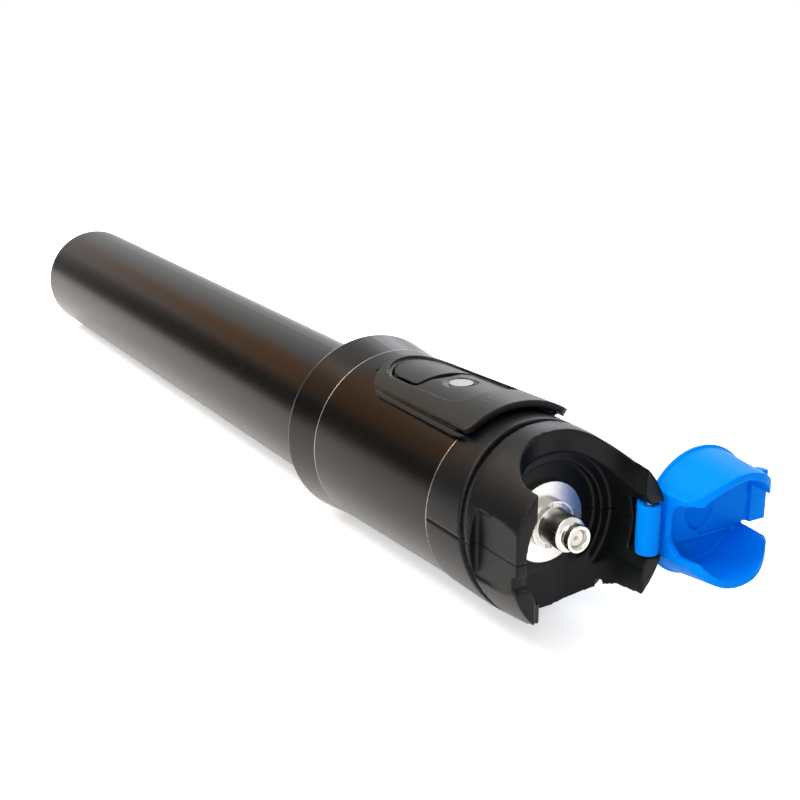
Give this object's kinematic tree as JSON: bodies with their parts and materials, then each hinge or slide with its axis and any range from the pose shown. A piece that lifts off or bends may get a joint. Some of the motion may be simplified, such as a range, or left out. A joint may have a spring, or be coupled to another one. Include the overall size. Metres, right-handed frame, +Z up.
{
  "type": "visual fault locator",
  "caption": "Pen-shaped red-light fibre tester with a ferrule port, a hinged dust cap, a push switch pad and a screw-on battery tube.",
  "frame": {"origin": "centre of the mouth of the 2.5 mm ferrule port", "axes": "+Y along the pen from the port to the tail, +Z up through the switch pad, +X towards the cap's hinge"},
  "size_m": [0.0441, 0.1852, 0.0276],
  "materials": {
    "moulded_black": "fine satin texture",
    "anodised_black": "satin black anodised",
    "pad_black": "satin soft-touch paint",
    "cap_blue": "gloss moulded polyethylene",
    "nickel": "bright nickel plate",
    "zirconia": "polished ceramic",
    "brass": "turned",
    "steel": "bright drawn wire",
    "optical_glass": "polished",
    "board_green": "solder mask",
    "chip_black": "moulded epoxy",
    "seal_rubber": "smooth nitrile",
    "window_clear": "frosted clear",
    "cell_sleeve": "plain printed sleeve"
  },
  "bodies": {
    "head": {"nose_upper_shell": "moulded_black", "nose_lower_shell": "moulded_black", "barrel": "anodised_black", "collar": "anodised_black", "contact_spring": "steel", "contact_holder": "moulded_black", "contact_rivet": "brass", "port_flange": "nickel", "ferrule_adapter": "nickel", "ferrule_sleeve": "zirconia", "laser_housing": "brass", "focus_lens": "optical_glass", "laser_diode": "steel", "circuit_board": "board_green", "driver_chip": "chip_black", "indicator_led": "window_clear", "tact_switch": "chip_black", "switch_pad": "pad_black", "indicator_lens": "window_clear", "hinge_pin": "steel"},
    "cap": {"dust_cap": "cap_blue"},
    "button": {"power_button": "pad_black", "switch_plunger": "moulded_black"},
    "seal": {"tube_seal": "seal_rubber"},
    "tube": {"battery_tube": "anodised_black", "front_cell": "cell_sleeve", "rear_cell": "cell_sleeve", "tail_spring": "steel"}
  },
  "joints": [
    {"name": "cap_hinge", "type": "hinge", "parent": "head", "child": "cap", "pos_m": [0.0094, -0.0015, 0], "axis": [0, 0, 1], "range_deg": [-180, 0]},
    {"name": "button_press", "type": "slide", "parent": "head", "child": "button", "axis": [0, -0.0837, -0.9965], "range_m": [0, 0.0006], "stiffness_N_per_m": 800},
    {"name": "tube_slide", "type": "slide", "parent": "head", "child": "seal", "axis": [0, 1, 0], "range_m": [0, 0.0046]},
    {"name": "tube_turn", "type": "hinge", "parent": "seal", "child": "tube", "pos_m": [0, 0.05, -0.00158], "axis": [0, 1, 0], "range_deg": [0, 1080]}
  ],
  "couplings": [
    {"joint": "tube_slide", "follows": "tube_turn", "m_per_rad": 0.00023873}
  ]
}
